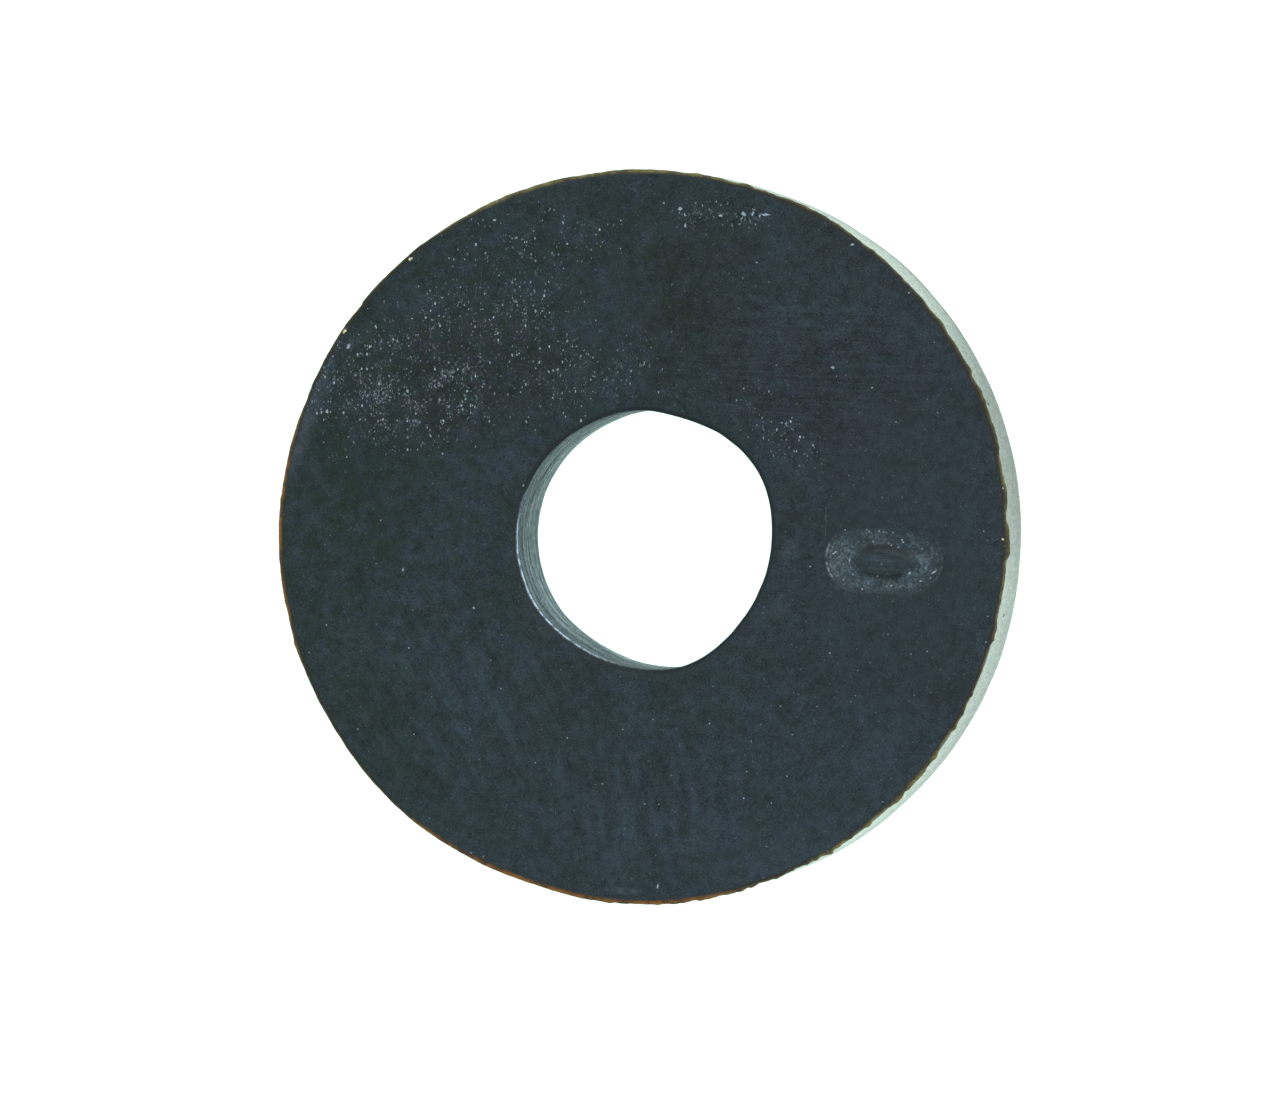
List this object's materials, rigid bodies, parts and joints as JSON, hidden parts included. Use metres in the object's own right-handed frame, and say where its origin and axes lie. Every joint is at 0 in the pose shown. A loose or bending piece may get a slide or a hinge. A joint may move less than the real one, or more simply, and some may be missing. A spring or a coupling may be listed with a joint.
{
  "type": "flat washer",
  "caption": "Thick flat rubber washer: a moulded black ring with a plain screw bore and two flat sealing faces, of the kind that a screw holds against a tap valve's seat.",
  "frame": {"origin": "centre of the bore, on the plane of the lower face that the washer rests on", "axes": "+Z along the bore, up through the upper face; +X from the bore's axis through the middle of the oval mark on the upper face"},
  "size_m": [0.0136, 0.0134, 0.0032],
  "materials": {
    "rubber": "matt moulded black rubber with a faint grey bloom, paler where it was trimmed and cored"
  },
  "bodies": {
    "root": {"washer": "rubber"}
  },
  "joints": []
}
